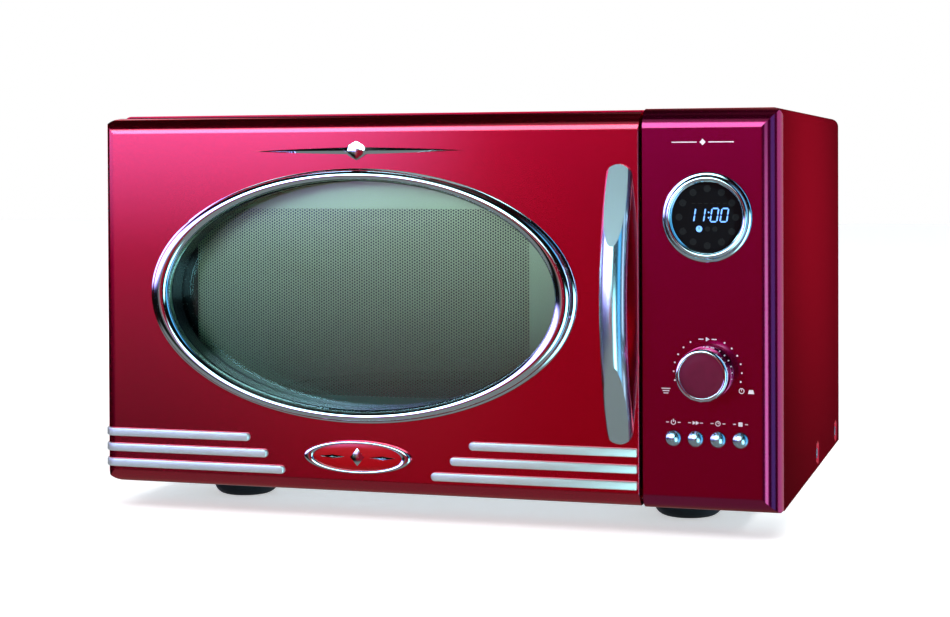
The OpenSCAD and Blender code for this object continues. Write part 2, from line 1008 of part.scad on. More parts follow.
// flange, step and bead of the ring, its slope down to the glass, and the neck behind it
module window_ring() {
    r = ring_half_height;
    color("silver")
    in_case()
    translate([window_x, 0, window_z])
        scale([ring_stretch, 1, 1])
            rotate([-90, 0, 0])
                rotate_extrude($fn = 128)
                    difference() {
                        union() {
                            polygon([[r, 0], [r, -0.7], [r - 0.8, -1.1], [r - 1.4, -1.6],
                                [r - 2.2, -3.6], [ring_crest + 1.1, -5.4],
                                [ring_crest - 2, -4], [ring_lip, 0], [ring_lip, glass_y],
                                [ring_lip + ring_wall, glass_y], [ring_lip + ring_wall, 0]]);
                            translate([ring_crest, -ring_height + ring_bead]) circle(ring_bead);
                        }
                        translate([ring_lip + ring_wall, 0]) square([20, 5]);
                    }
}

module window_glass() {
    half_height = window_half[1] - 2;
    color([0.55, 0.62, 0.58, 0.6])
    in_case()
    plate_xz([glass_y, glass_y + 3])
        round_rect([window_x - window_half[0], window_z - half_height],
            [window_x + window_half[0], window_z + half_height], [8, 8, 8, 8]);
}

// rectangle round the middle of the window, grown by margin, from y[0] to y[1]
module window_block(margin, y) {
    box([window_x - window_half[0] - margin, window_x + window_half[0] + margin], y,
        [window_z - window_half[1] - margin, window_z + window_half[1] + margin]);
}

// room for the hinge bosses at both corners of the door's inner layers
module hinge_corners() {
    y = [16, seal_y + 1];
    box([screen_left - 1, hinge_x + 9], y, [upper_hinge_z - 14, body_height + 6]);
    box([screen_left - 1, hinge_x + 9], y, [-1, lower_hinge_z + 16]);
}

// sheet behind the glass with its outer and inner rims
module door_screen() {
    rim_y = [screen_y + 0.5, seal_y - seal_sheet];
    inside_y = [screen_y - 0.5, seal_y];
    color([0.45, 0.48, 0.46])
    in_case()
    difference() {
        union() {
            box([screen_left, screen_right], [screen_y, screen_y + 1], [screen_low, screen_high]);
            difference() {
                box([screen_left, screen_right], rim_y, [screen_low, screen_high]);
                box([screen_left + 1, screen_right - 1], inside_y,
                    [screen_low + 1, screen_high - 1]);
            }
            difference() {
                window_block(0, rim_y);
                window_block(-1, inside_y);
            }
        }
        hinge_corners();
    }
}

module choke_cover() {
    cut_y = [20, seal_y + 1];
    color([0.12, 0.12, 0.13])
    in_case()
    difference() {
        box([screen_left, door_right - wall - 0.5], [seal_y - seal_sheet, seal_y],
            [screen_low, screen_high]);
        // slots for the latch hooks
        for (z = latch_z)
            box([latch_x - 1, latch_x + latch_width + 1], cut_y, [z - 6.5, z + 9]);
        window_block(-6, cut_y);
        hinge_corners();
    }
}

module inner_window() {
    color([0.8, 0.85, 0.85, 0.3])
    in_case()
        window_block(-2, [seal_y - seal_sheet - 0.8, seal_y - seal_sheet]);
}

// one hinge: plate, tab on the front frame, and pin
module hinge_bracket(z, pin, tab) {
    x = [hinge_x - hinge_half_width, hinge_x + hinge_half_width];
    box(x, [hinge_y - hinge_half_width, frame_y], [z, z + hinge_plate]);
    box(x, [frame_y - 1.4, frame_y], tab);
    translate([hinge_x, hinge_y, pin[0]]) cylinder(r = hinge_pin_radius, h = pin[1] - pin[0]);
}

module hinge_brackets() {
    lower_top = lower_hinge_z + hinge_plate;
    color("silver")
    in_case() {
        hinge_bracket(upper_hinge_z, [upper_hinge_z - hinge_pin_length, upper_hinge_z],
            [upper_hinge_z - 12, upper_hinge_z]);
        hinge_bracket(lower_hinge_z, [lower_top, lower_top + hinge_pin_length],
            [lower_top, lower_top + 11]);
    }
}

// bar inside the door edge with a hook at each latch
module latch_hooks() {
    x = [latch_x, latch_x + latch_width];
    color([0.9, 0.9, 0.88])
    in_case() {
        box(x, [12, 19], [latch_z[0] - 9, latch_z[1] + 5]);
        for (z = latch_z)
            plate_yz(x)
                translate([0, z])
                    polygon([[12, -5], [43, -5], [43, -8], [47, -8], [53, 0], [50, 4], [12, 4]]);
    }
}

module handle() {
    axis_y = -handle_reach + arch_radius;
    mid_r = arch_radius - handle_round;
    end_y = -1.6;
    color("silver")
    in_case()
    difference() {
        intersection() {
            translate([handle_x, axis_y, handle_z])
                rotate([0, 90, 0])
                    rotate_extrude($fn = 180)
                        union() {
                            translate([mid_r, 0])
                                intersection() {
                                    circle(handle_round);
                                    translate([0, -handle_round]) square(handle_width);
                                }
                            round_rect([arch_radius - handle_thick, -handle_round],
                                [mid_r, handle_round], [3, 0, 0, 3]);
                        }
            plate_xz([-handle_reach - 1, 0])
                round_rect([handle_x - handle_round, handle_z - handle_half],
                    [handle_x + handle_round, handle_z + handle_half],
                    [handle_round, handle_round, handle_round, handle_round]);
        }
        // flats on both ends
        for (side = [0, 1])
            translate([0, 0, handle_z])
                mirror([0, 0, side])
                    plate_yz([handle_x - 12, handle_x + 12])
                        polygon([[-23.1, 36], [end_y, handle_half], [end_y, handle_half + 5],
                            [-40, handle_half + 5], [-40, 26.5]]);
        for (z = handle_screw_z)
            bar_y(screw_radius, [-4.5, 1], handle_x, z);
    }
}

module handle_screws() {
    color("dimgray")
    in_case()
    for (z = handle_screw_z) {
        bar_y(screw_radius, [-4, wall], handle_x, z);
        bar_y(screw_head_radius + 0.2, [wall, wall + 2], handle_x, z);
    }
}

// strip that follows the front of the door and its rounded left edge
module strip_section(x_from, x_to) {
    rise = 1;
    translate([0, 0, -strip_height / 2])
        linear_extrude(strip_height)
            intersection() {
                difference() {
                    round_rect([door_left - rise, -strip_rise], [door_right, 40],
                        [door_side_round + rise, 0, 0, 0]);
                    round_rect([door_left - film, -film], [door_right + 1, 41],
                        [door_side_round + film, 0, 0, 0]);
                }
                translate([x_from, -3]) square([x_to - x_from, 11]);
            }
}

module strips_left() {
    color("silver")
    in_case()
    for (i = [0:2])
        translate([0, 0, strip_z[i]])
            intersection() {
                strip_section(door_left - 2, left_strip_tip[i]);
                plate_xz([-3, 12])
                    round_rect([door_left - 3, -strip_height / 2],
                        [left_strip_tip[i], strip_height / 2],
                        [0, strip_tip_round, strip_tip_round, 0]);
            }
}

module strips_right() {
    color("silver")
    in_case()
    for (i = [0:2])
        translate([0, 0, strip_z[i]])
            plate_xz([-strip_rise, 0])
                round_rect([right_strip_tip[i], -strip_height / 2],
                    [strip_end_x, strip_height / 2],
                    [strip_tip_round, 0.6, 0.6, strip_tip_round]);
}

module badge_outline(inset) {
    half_height = badge_half[1] - inset;
    scale([(badge_half[0] - inset) / half_height, 1]) circle(half_height);
}

// oval rim with a pointed ornament across it
module badge_rim() {
    relief_y = [-2.4, -badge_face_rise];
    color("silver")
    in_case()
    translate([window_x, 0, badge_z]) {
        plate_xz([-2.6, 0])
            difference() {
                badge_outline(0);
                badge_outline(badge_rim_width);
            }
        plate_xz(relief_y)
            for (side = [-1, 1])
                polygon([[side * 27, 0], [side * 8, 1.1], [side * 8, -1.1]]);
        plate_xz(relief_y) polygon([[0, 6], [5, 0], [0, -6], [-5, 0]]);
    }
}

module badge_face() {
    color("red")
    in_case()
    translate([window_x, 0, badge_z])
        plate_xz([-badge_face_rise, 0]) badge_outline(badge_rim_width + film);
}

// long pointed bar with a small diamond in its middle
module spear_trim() {
    diamond = [9, 6];
    color("silver")
    in_case()
    translate([window_x, 0, spear_z])
        plate_xz([-1.6, 0])
            for (half = [spear_half, diamond])
                polygon([[-half[0], 0], [0, -half[1]], [half[0], 0], [0, half[1]]]);
}

cabinet();
base_plate();
rear_panel();
front_frame();
cavity();
waveguide();
waveguide_cover();
magnetron();
transformer_core();
transformer_coils();
capacitor();
fan_shroud();
fan_motor();
fan_blade();
lamp();
lamp_holder();
turntable_motor();
coupler();
roller_ring();
roller(0);  // roller_1
roller(120);  // roller_2
roller(240);  // roller_3
glass_turntable();
latch_bracket();
interlock_switches();
thermal_cutout();
filter_board();
cord_inlet();
feet();
case_screws();
control_panel();
display_bezel();
display_lens();
display_module();
control_board();
encoder();
dial_plunger();
dial_shaft();
dial_knob();
dial_face();
button(0);  // button_1
button(1);  // button_2
button(2);  // button_3
button(3);  // button_4
door_shell();
window_ring();
window_glass();
door_screen();
choke_cover();
inner_window();
hinge_brackets();
latch_hooks();
handle();
handle_screws();
strips_left();
strips_right();
badge_rim();
badge_face();
spear_trim();
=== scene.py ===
"""Looks of a countertop microwave oven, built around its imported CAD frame. Lengths are in metres."""

import math

import bmesh
import bpy
from mathutils import Matrix, Vector


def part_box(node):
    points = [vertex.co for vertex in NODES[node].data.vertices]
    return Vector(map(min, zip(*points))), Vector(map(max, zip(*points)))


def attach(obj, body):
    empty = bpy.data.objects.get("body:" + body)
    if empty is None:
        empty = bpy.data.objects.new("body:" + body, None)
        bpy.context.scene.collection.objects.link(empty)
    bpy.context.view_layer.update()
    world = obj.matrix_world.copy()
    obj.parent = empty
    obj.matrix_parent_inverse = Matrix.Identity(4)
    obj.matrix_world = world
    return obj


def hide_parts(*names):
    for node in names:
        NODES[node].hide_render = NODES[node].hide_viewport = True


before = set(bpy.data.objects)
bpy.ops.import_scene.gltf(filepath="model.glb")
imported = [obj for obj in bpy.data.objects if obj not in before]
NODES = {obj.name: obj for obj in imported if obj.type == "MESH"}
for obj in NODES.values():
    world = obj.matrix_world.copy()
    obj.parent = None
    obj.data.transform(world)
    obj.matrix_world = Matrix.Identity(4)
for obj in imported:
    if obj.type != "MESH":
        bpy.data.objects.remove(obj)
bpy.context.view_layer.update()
MM = 0.001


def box(node):
    """The low and the high corner of a node's box."""
    low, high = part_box(node)
    return Vector(low), Vector(high)


def middle(node):
    low, high = box(node)
    return (low + high) / 2


# ---------------------------------------------------------------- camera, lights, floor

FOCAL_MM = 70.96
SENSOR_MM = 36
CAMERA_SHIFT_Y = -0.125
CAMERA_YAW = math.radians(17.03)
CAMERA_TILT = math.radians(0.70)
CAMERA_ROLL = math.radians(-0.246)
CAMERA_PLACE = Vector((0.3775, -1.2630, 0.2249))


def add_camera():
    """The camera, at the place and turn fitted to the object's edges."""
    data = bpy.data.cameras.new("camera")
    data.sensor_width = SENSOR_MM
    data.lens = FOCAL_MM
    data.shift_y = CAMERA_SHIFT_Y
    data.clip_start = 0.05
    data.clip_end = 50
    camera = bpy.data.objects.new("camera", data)
    bpy.context.scene.collection.objects.link(camera)
    level = Vector((-math.sin(CAMERA_YAW), math.cos(CAMERA_YAW), 0))
    right = Vector((math.cos(CAMERA_YAW), math.sin(CAMERA_YAW), 0))
    up = Vector((0, 0, 1))
    forward = level * math.cos(CAMERA_TILT) - up * math.sin(CAMERA_TILT)
    tilted_up = up * math.cos(CAMERA_TILT) + level * math.sin(CAMERA_TILT)
    x_axis = right * math.cos(CAMERA_ROLL) + tilted_up * math.sin(CAMERA_ROLL)
    y_axis = tilted_up * math.cos(CAMERA_ROLL) - right * math.sin(CAMERA_ROLL)
    turned = Matrix((x_axis, y_axis, -forward)).transposed().to_4x4()
    camera.matrix_world = Matrix.Translation(CAMERA_PLACE) @ turned
    bpy.context.scene.camera = camera


def hang_light(name, data, place, target):
    """Hangs a light and aims it; neither the camera nor polished surfaces show the light itself."""
    light = bpy.data.objects.new(name, data)
    bpy.context.scene.collection.objects.link(light)
    light.location = place
    direction = Vector(target) - Vector(place)
    light.rotation_euler = direction.to_track_quat("-Z", "Y").to_euler()
    light.visible_camera = False
    light.visible_glossy = False
    light.visible_transmission = False


def add_area_light(name, place, target, wide, deep, power):
    data = bpy.data.lights.new(name, "AREA")
    data.shape = "RECTANGLE"
    data.size = wide
    data.size_y = deep
    data.energy = power
    hang_light(name, data, place, target)


def add_spot(name, place, target, cone, power):
    """A spot with a soft edge; the cone is in degrees."""
    data = bpy.data.lights.new(name, "SPOT")
    data.energy = power
    data.spot_size = math.radians(cone)
    data.spot_blend = 1.0
    data.shadow_soft_size = 0.1
    hang_light(name, data, place, target)


# Soft cards and gaps that polished surfaces show, placed by direction round the object.
# Azimuth runs from straight in front and grows to the right; height is above the horizon; all in degrees.
CARDS = {
    # name: azimuth, half width, soft edge, height, half height, soft edge, colour, strength
    "key_box": (-52, 29, 7, 13, 10, 6, (0.95, 0.86, 2.3), 2.4),
    "front_box": (-20, 16, 8, 20, 8, 8, (0.75, 1.3, 1.45), 5.6),
    "handle_card": (-15, 7, 5, 43, 6, 5, (0.80, 1.0, 1.0), 0.5),
    "front_fill": (-26, 6, 6, 0, 4, 8, (0.86, 1.0, 0.95), 0.18),
    "red_bounce": (-11, 8, 8, -5, 7, 8, (1.0, 0.02, 0.08), 0.34),
    "right_strip": (23, 5, 7, -18, 14, 8, (0.55, 1.25, 1.4), 4.0),
    "blue_strip": (62, 9, 6, 5, 40, 20, (0.10, 0.50, 1.0), 1.5),
    "blue_wall": (118, 22, 8, 8, 42, 20, (0.50, 0.72, 1.0), 2.0),
    "left_wall": (-136, 10, 5, 8, 30, 12, (0.84, 0.82, 1.0), 1.8),
    "back_top": (158, 26, 16, 46, 16, 8, (1.0, 0.96, 0.98), 0.5),
    "table": (0, 180, 1, -56, 34, 7, (0.86, 0.98, 1.0), 0.27),
    "zenith": (0, 180, 1, 90, 8, 8, (1.0, 1.0, 1.0), 0.08),
}
# between the cards; what falls on matt surfaces; and what the camera sees behind the object
SURROUND = (0.004, 0.004, 0.004)
EVEN_LIGHT = (0.55, 0.56, 0.57)
BACKDROP = (1.0, 1.0, 1.0)


class Sky:
    """Node helpers for a world whose brightness depends on direction."""

    def __init__(self, tree):
        self.nodes, self.links = tree.nodes, tree.links
        place = self.nodes.new("ShaderNodeTexCoord")
        split = self.nodes.new("ShaderNodeSeparateXYZ")
        self.links.new(place.outputs["Generated"], split.inputs[0])
        toward_front = self.math("MULTIPLY", split.outputs["Y"], -1.0)
        self.azimuth = self.math("DEGREES", self.math("ARCTAN2", split.outputs["X"], toward_front))
        self.height = self.math("DEGREES", self.math("ARCSINE", split.outputs["Z"]))

    def math(self, operation, *values):
        node = self.nodes.new("ShaderNodeMath")
        node.operation = operation
        for i, value in enumerate(values):
            if isinstance(value, (int, float)):
                node.inputs[i].default_value = value
            else:
                self.links.new(value, node.inputs[i])
        return node.outputs[0]

    def near(self, angle, centre, half, soft):
        """1 within half of the centre, falling smoothly to 0 over the soft edge."""
        turned = self.math("WRAP", self.math("SUBTRACT", angle, centre), -180.0, 180.0)
        away = self.math("ABSOLUTE", turned)
        edge = self.nodes.new("ShaderNodeMapRange")
        edge.interpolation_type = "SMOOTHSTEP"
        edge.inputs["From Min"].default_value = half
        edge.inputs["From Max"].default_value = half + soft
        edge.inputs["To Min"].default_value = 1.0
        edge.inputs["To Max"].default_value = 0.0
        self.links.new(away, edge.inputs["Value"])
        return edge.outputs["Result"]

    def vector(self, operation, first, second):
        node = self.nodes.new("ShaderNodeVectorMath")
        node.operation = operation
        other = node.inputs["Scale"] if operation == "SCALE" else node.inputs[1]
        for value, socket in ((first, node.inputs[0]), (second, other)):
            if isinstance(value, tuple):
                socket.default_value = value
            else:
                self.links.new(value, socket)
        return node.outputs[0]

    def background(self, colour):
        node = self.nodes.new("ShaderNodeBackground")
        if isinstance(colour, tuple):
            node.inputs["Color"].default_value = (*colour, 1)
        else:
            self.links.new(colour, node.inputs["Color"])
        return node.outputs[0]

    def mix(self, factor, first, second):
        node = self.nodes.new("ShaderNodeMixShader")
        self.links.new(factor, node.inputs["Fac"])
        self.links.new(first, node.inputs[1])
        self.links.new(second, node.inputs[2])
        return node.outputs[0]


def add_world():
    """White to the eye, even light on matt surfaces, and the cards of a dark studio in polished ones."""
    world = bpy.data.worlds.new("studio")
    bpy.context.scene.world = world
    world.use_nodes = True
    world.cycles.sampling_method = "NONE"
    world.node_tree.nodes.clear()
    sky = Sky(world.node_tree)
    total = SURROUND
    for azimuth, wide, soft_wide, height, tall, soft_tall, colour, strength in CARDS.values():
        across = sky.near(sky.azimuth, azimuth, wide, soft_wide)
        up = sky.near(sky.height, height, tall, soft_tall)
        light = tuple(strength * c for c in colour)
        card = sky.vector("SCALE", light, sky.math("MULTIPLY", across, up))
        total = sky.vector("ADD", card, total)
    ray = sky.nodes.new("ShaderNodeLightPath")
    polished = sky.math("MAXIMUM", ray.outputs["Is Glossy Ray"], ray.outputs["Is Transmission Ray"])
    lit = sky.mix(polished, sky.background(EVEN_LIGHT), sky.background(total))
    seen = sky.mix(ray.outputs["Is Camera Ray"], lit, sky.background(BACKDROP))
    output = sky.nodes.new("ShaderNodeOutputWorld")
    sky.links.new(seen, output.inputs["Surface"])


def add_floor():
    """A plain pale floor that glows a little and isn't seen in polished surfaces."""
    bpy.ops.mesh.primitive_plane_add(size=12, location=(0, 0, 0))
    floor = bpy.context.object
    floor.name = "floor"
    material = bpy.data.materials.new("floor")
    material.use_nodes = True
    shader = material.node_tree.nodes["Principled BSDF"]
    shader.inputs["Base Color"].default_value = (0.92, 0.92, 0.92, 1)
    shader.inputs["Roughness"].default_value = 0.6
    shader.inputs["Emission Color"].default_value = (1, 1, 1, 1)
    shader.inputs["Emission Strength"].default_value = 0.5
    floor.data.materials.append(material)
    floor.visible_glossy = False
    floor.visible_transmission = False


# ---------------------------------------------------------------- materials

class Shader:
    """A material whose Principled shader gets its detail from noise in object space."""

    def __init__(self, name, colour, roughness, **sockets):
        self.material = bpy.data.materials.new(name)
        self.material.use_nodes = True
        tree = self.material.node_tree
        self.nodes, self.links = tree.nodes, tree.links
        self.bsdf = self.nodes["Principled BSDF"]
        self.place = self.nodes.new("ShaderNodeTexCoord")
        self.bsdf.inputs["Base Color"].default_value = (*colour, 1)
        self.bsdf.inputs["Roughness"].default_value = roughness
        self.colour = colour
        self.roughness = roughness
        for socket, value in sockets.items():
            self.bsdf.inputs[socket.replace("_", " ")].default_value = value

    def noise(self, scale, detail, stretch=None):
        """Noise in object space; a stretch below 1 along an axis draws it out that way."""
        texture = self.nodes.new("ShaderNodeTexNoise")
        texture.inputs["Scale"].default_value = scale
        texture.inputs["Detail"].default_value = detail
        source = self.place.outputs["Object"]
        if stretch:
            mapping = self.nodes.new("ShaderNodeMapping")
            mapping.inputs["Scale"].default_value = stretch
            self.links.new(source, mapping.inputs["Vector"])
            source = mapping.outputs["Vector"]
        self.links.new(source, texture.inputs["Vector"])
        return texture.outputs["Fac"]

    def tint(self, factor, amount):
        """Darkens the base colour in patches, by up to the amount, where the factor is low."""
        darker = tuple(c * (1 - amount) for c in self.colour)
        ramp = self.nodes.new("ShaderNodeValToRGB")
        low, high = ramp.color_ramp.elements
        low.position = 0.35
        high.position = 0.65
        low.color = (*darker, 1)
        high.color = (*self.colour, 1)
        self.links.new(factor, ramp.inputs["Fac"])
        self.links.new(ramp.outputs["Color"], self.bsdf.inputs["Base Color"])

    def rough(self, factor, spread):
        """Varies the roughness by the spread to either side."""
        span = self.nodes.new("ShaderNodeMapRange")
        span.inputs["To Min"].default_value = max(self.roughness - spread, 0.0)
        span.inputs["To Max"].default_value = self.roughness + spread
        self.links.new(factor, span.inputs["Value"])
        self.links.new(span.outputs["Result"], self.bsdf.inputs["Roughness"])

    def bump(self, factor, height):
        """Raises a grain of the given height in metres."""
        node = self.nodes.new("ShaderNodeBump")
        node.inputs["Strength"].default_value = 1.0
        node.inputs["Distance"].default_value = height
        self.links.new(factor, node.inputs["Height"])
        self.links.new(node.outputs["Normal"], self.bsdf.inputs["Normal"])


GLASS_IOR = 1.45
CANDY_EDGE = (1.0, 0.04, 0.10)
FLAKE_DARK = 0.25
PEEL_HEIGHT = 0.004 * MM


def candy_paint(name, colour, metal=0.97, roughness=0.18, coat=1.0):
    """Metallic paint: fine flakes, red at grazing angles, and a clear coat with a slight peel over them."""
    paint = Shader(name, colour, roughness, Metallic=metal, Coat_Weight=coat)
    paint.bsdf.inputs["Coat Roughness"].default_value = 0.03
    paint.bsdf.inputs["Coat IOR"].default_value = 1.5
    paint.bsdf.inputs["Specular Tint"].default_value = (*CANDY_EDGE, 1)
    paint.tint(paint.noise(2600, 1.0), FLAKE_DARK)
    paint.rough(paint.noise(1800, 1.0), 0.06)
    peel_node = paint.nodes.new("ShaderNodeBump")
    peel_node.inputs["Distance"].default_value = PEEL_HEIGHT
    paint.links.new(paint.noise(160, 1.0), peel_node.inputs["Height"])
    paint.links.new(peel_node.outputs["Normal"], paint.bsdf.inputs["Coat Normal"])
    return paint.material


def chrome(name, colour, roughness):
    """Plated metal with faint cloudiness."""
    plate = Shader(name, colour, roughness, Metallic=1.0)
    plate.rough(plate.noise(220, 3.0), 0.02)
    plate.tint(plate.noise(25, 2.0), 0.04)
    return plate.material


def plain(name, colour, roughness, grain, height, variation=0.12, **sockets):
    """A moulded or painted surface: grain says how fine its grain is, and height is in metres."""
    surface = Shader(name, colour, roughness, **sockets)
    surface.tint(surface.noise(grain * 0.1, 3.0), variation)
    surface.rough(surface.noise(grain * 0.4, 2.0), 0.08)
    surface.bump(surface.noise(grain, 2.0), height)
    return surface.material


def sheet_steel(name, colour=(0.56, 0.57, 0.58), roughness=0.38):
    """Galvanised steel: a soft spangle and fine rolling lines."""
    steel = Shader(name, colour, roughness, Metallic=1.0)
    spangle = steel.nodes.new("ShaderNodeTexVoronoi")
    spangle.inputs["Scale"].default_value = 140
    steel.links.new(steel.place.outputs["Object"], spangle.inputs["Vector"])
    steel.tint(spangle.outputs["Distance"], 0.09)
    steel.rough(steel.noise(300, 3.0, (1, 1, 0.1)), 0.1)
    return steel.material


def screen_paint_painted_shade():
    """Grey-green paint on the punched sheet, with painted shade that darkens it towards the bottom of the
    door and painted light towards the top.
    """
    paint = Shader("screen_paint_painted_shade", (0.30, 0.36, 0.31), 0.4, Metallic=0.7)
    low, high = box("window_glass")
    split = paint.nodes.new("ShaderNodeSeparateXYZ")
    paint.links.new(paint.place.outputs["Object"], split.inputs[0])
    height = paint.nodes.new("ShaderNodeMapRange")
    height.inputs["From Min"].default_value = low.z
    height.inputs["From Max"].default_value = high.z
    paint.links.new(split.outputs["Z"], height.inputs["Value"])
    # painted shade and painted light: dark green at the bottom of the window, pale at the top, as light
    # falls into the ring's recess
    ramp = paint.nodes.new("ShaderNodeValToRGB")
    bottom, top = ramp.color_ramp.elements
    bottom.position = 0.1
    top.position = 0.95
    bottom.color = (0.012, 0.072, 0.052, 1)
    top.color = (0.70, 0.72, 0.45, 1)
    paint.links.new(height.outputs["Result"], ramp.inputs["Fac"])
    paint.links.new(ramp.outputs["Color"], paint.bsdf.inputs["Base Color"])
    paint.rough(paint.noise(1500, 2.0), 0.05)
    return paint.material


def clear(name, colour, roughness=0.0):
    """Glass or a clear sheet, tinted by its colour."""
    glass = Shader(name, colour, roughness, IOR=GLASS_IOR, Transmission_Weight=1.0)
    return glass.material


def glowing(name, colour, strength):
    """A lit surface over a darker base of the same colour."""
    light = Shader(name, tuple(c * 0.3 for c in colour), 0.4, Emission_Strength=strength)
    light.bsdf.inputs["Emission Color"].default_value = (*colour, 1)
    light.tint(light.noise(900, 1.0), 0.15)
    return light.material


DOOR_RED = candy_paint("door_paint", (0.62, 0.006, 0.035))
CASE_RED = candy_paint("case_paint", (0.42, 0.003, 0.02), metal=0.85, roughness=0.3, coat=0.3)
PANEL_RED = candy_paint("panel_paint", (0.36, 0.003, 0.072), coat=0.6)
FRAME_RED = candy_paint("frame_paint", (0.30, 0.005, 0.018), roughness=0.4)
KNOB_RED = plain("knob_paint", (0.10, 0.002, 0.022), 0.5, 1800, 0.00001, Specular_IOR_Level=0.15)
BADGE_RED = candy_paint("badge_enamel", (0.50, 0.006, 0.010), metal=0.4, roughness=0.3)
CHROME = chrome("chrome", (0.70, 0.75, 0.77), 0.07)
HANDLE_CHROME = chrome("handle_chrome", (0.72, 0.79, 0.80), 0.24)
BUTTON_CHROME = chrome("button_chrome", (0.56, 0.66, 0.70), 0.24)
SATIN_CHROME = plain("satin_chrome", (0.58, 0.63, 0.61), 0.32, 900, 0.000002, variation=0.03, Metallic=0.6)
STEEL = sheet_steel("galvanised_steel")
ALUMINIUM = sheet_steel("aluminium", (0.70, 0.71, 0.72), 0.3)
CAVITY = plain("cavity_paint", (0.62, 0.62, 0.59), 0.35, 900, 0.00002)
SCREEN = screen_paint_painted_shade()
BLACK = plain("black_plastic", (0.012, 0.012, 0.013), 0.42, 1200, 0.00004)
LENS = plain("display_lens", (0.003, 0.005, 0.006), 0.08, 60, 0.0, Specular_IOR_Level=0.12)
WHITE = plain("white_plastic", (0.72, 0.72, 0.69), 0.45, 1200, 0.00003)
MICA = plain("mica", (0.55, 0.50, 0.36), 0.5, 500, 0.00005, variation=0.3)
RUBBER = plain("rubber", (0.004, 0.005, 0.006), 0.65, 2500, 0.00008, Specular_IOR_Level=0.2)
BOARD = plain("circuit_board", (0.02, 0.14, 0.06), 0.35, 1500, 0.00002)
IRON = plain("core_iron", (0.09, 0.085, 0.08), 0.5, 800, 0.00008, Metallic=0.8)
COPPER = plain("lacquered_copper", (0.55, 0.20, 0.07), 0.3, 800, 0.00004, Metallic=1.0)
PRINT = plain("printed_white", (0.60, 0.55, 0.60), 0.5, 3000, 0.000005)
DIM_PRINT = plain("unlit_symbol", (0.006, 0.007, 0.007), 0.3, 3000, 0.000005, Specular_IOR_Level=0.1)
BLUE_LIGHT = glowing("lit_blue", (0.15, 0.38, 1.0), 1.6)
WINDOW = clear("window_glass", (0.80, 0.90, 0.85))
INNER_WINDOW = clear("inner_window", (0.30, 0.33, 0.32))
# painted shade: glossy black for the sleeve that darkens the window ring's neck
SLEEVE_SHADE = plain("gloss_black", (0.004, 0.008, 0.010), 0.14, 60, 0.0)
# painted shade: near-black paint for the shade and dark reflection at the hinge side of the ring's recess
SHADE = plain("screen_shade", (0.010, 0.014, 0.014), 0.25, 1500, 0.000002)
TRAY_GLASS = clear("tray_glass", (0.90, 0.97, 0.95), 0.02)
LAMP_GLASS = clear("lamp_glass", (1.0, 0.96, 0.85), 0.05)

NODE_MATERIALS = {
    DOOR_RED: ["door_shell"],
    CASE_RED: ["cabinet"],
    PANEL_RED: ["control_panel"],
    FRAME_RED: ["front_frame"],
    KNOB_RED: ["dial_face"],
    HANDLE_CHROME: ["handle"],
    CHROME: ["display_bezel", "dial_knob", "button_1", "button_2", "button_3", "button_4"],
    STEEL: ["base_plate", "rear_panel", "waveguide", "hinge_brackets", "case_screws", "handle_screws",
            "dial_shaft", "encoder", "turntable_motor", "thermal_cutout", "fan_motor"],
    ALUMINIUM: ["magnetron", "capacitor"],
    CAVITY: ["cavity"],
    BLACK: ["choke_cover", "interlock_switches", "fan_shroud"],
    LENS: ["display_lens"],
    WHITE: ["latch_hooks", "latch_bracket", "coupler", "roller_ring", "roller_1", "roller_2", "roller_3",
            "lamp_holder", "dial_plunger", "fan_blade", "display_module"],
    MICA: ["waveguide_cover"],
    RUBBER: ["feet", "cord_inlet"],
    BOARD: ["control_board", "filter_board"],
    IRON: ["transformer_core"],
    COPPER: ["transformer_coils"],
    WINDOW: ["window_glass"],
    INNER_WINDOW: ["inner_window"],
    TRAY_GLASS: ["glass_turntable"],
    LAMP_GLASS: ["lamp"],
}


def paint_nodes():
    """Gives each CAD node in the table its material."""
    for material, names in NODE_MATERIALS.items():
        for name in names:
            slots = NODES[name].data.materials
            if not slots:
                slots.append(material)
            for i in range(len(slots)):
                slots[i] = material


# ---------------------------------------------------------------- mesh helpers

SHARP = math.radians(38)
# turned pieces stop this short of their axis
AXIS_GAP = 0.02 * MM


def piece(name, bm, material, body, replaces=()):
    """Turns a bmesh into a shown piece that rides on a body."""
    bmesh.ops.remove_doubles(bm, verts=bm.verts, dist=1e-7)
    bmesh.ops.recalc_face_normals(bm, faces=bm.faces)
    for face in bm.faces:
        face.smooth = True
    for edge in bm.edges:
        edge.smooth = len(edge.link_faces) == 2 and edge.calc_face_angle(0) < SHARP
    mesh = bpy.data.meshes.new(name)
    bm.to_mesh(mesh)
    bm.free()
    mesh.materials.append(material)
    made = bpy.data.objects.new(name, mesh)
    bpy.context.scene.collection.objects.link(made)
    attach(made, body)
    if replaces:
        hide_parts(*replaces)


def lathe(bm, profile, centre, stretch, segments):
    """Turns (radius, y) points about a line along y through the centre; stretch widens it in x."""
    rings = []
    for i in range(segments):
        a = 2 * math.pi * i / segments
        rings.append([
            bm.verts.new((centre.x + r * stretch * math.cos(a), centre.y + y, centre.z + r * math.sin(a)))
            for r, y in profile
        ])
    count = len(profile)
    for i in range(segments):
        one, two = rings[i], rings[(i + 1) % segments]
        for j in range(count):
            k = (j + 1) % count
            bm.faces.new((one[j], one[k], two[k], two[j]))


def arc(cx, cy, r, start, end, steps):
    """Points along a circle about (cx, cy), from the start to the end angle in degrees."""
    return [
        (cx + r * math.cos(math.radians(start + (end - start) * i / steps)),
         cy + r * math.sin(math.radians(start + (end - start) * i / steps)))
        for i in range(steps + 1)
    ]


